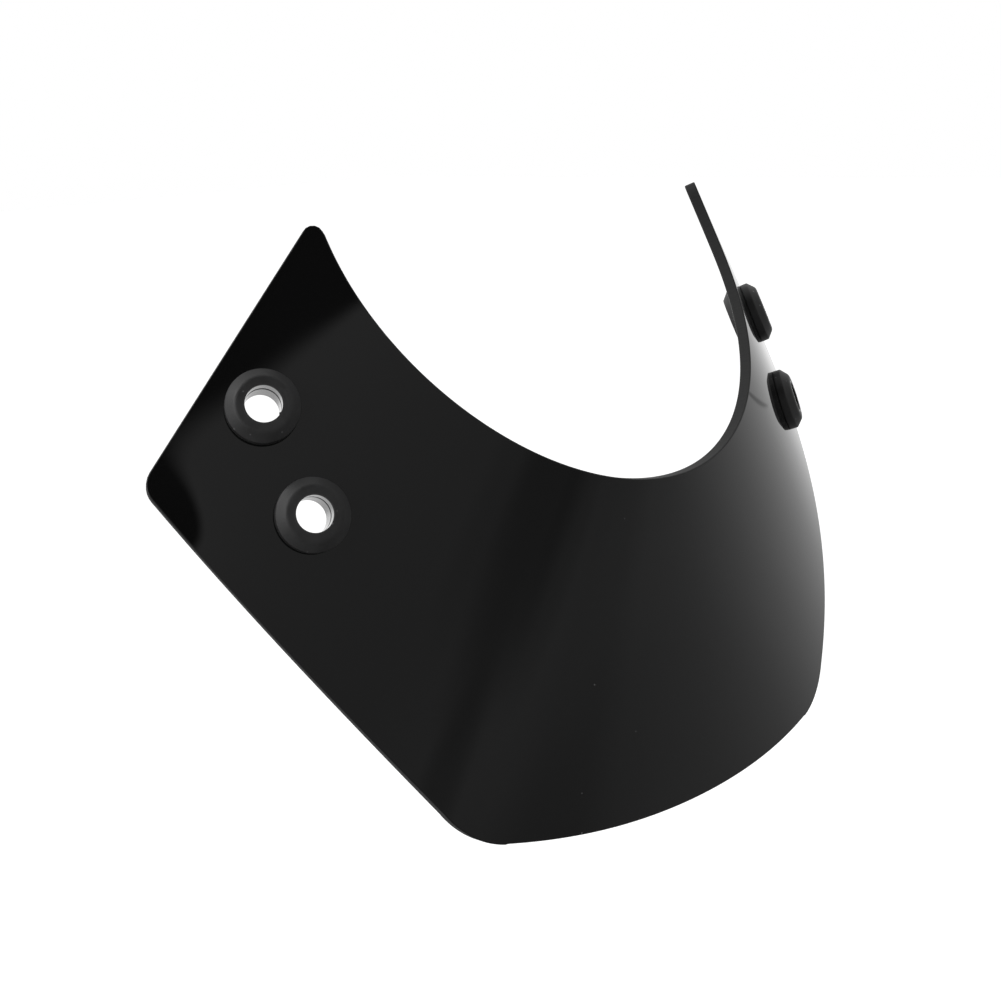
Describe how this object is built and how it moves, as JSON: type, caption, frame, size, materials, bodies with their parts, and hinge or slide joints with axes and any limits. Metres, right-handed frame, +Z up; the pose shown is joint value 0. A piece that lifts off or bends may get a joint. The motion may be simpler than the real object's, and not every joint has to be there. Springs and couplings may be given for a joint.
{
  "type": "scooter flyscreen",
  "caption": "Bent gloss acrylic flyscreen with a round headlamp cut-out and rubber grommets in both wings for its mounting screws.",
  "frame": {"origin": "centre of the bounding box at its lowest face, on the middle plane, level with the lowest point of the nose edge", "axes": "+Z up the straight fold at the middle of the nose, -Y out of the front of the nose, +X to the right as the front is looked at, so right and left in the names are as seen from the front"},
  "size_m": [0.2396, 0.0581, 0.1502],
  "materials": {
    "acrylic": "gloss",
    "rubber": "satin"
  },
  "bodies": {
    "root": {"screen": "acrylic", "grommet_right_upper": "rubber", "grommet_right_lower": "rubber", "grommet_left_upper": "rubber", "grommet_left_lower": "rubber"}
  },
  "joints": []
}
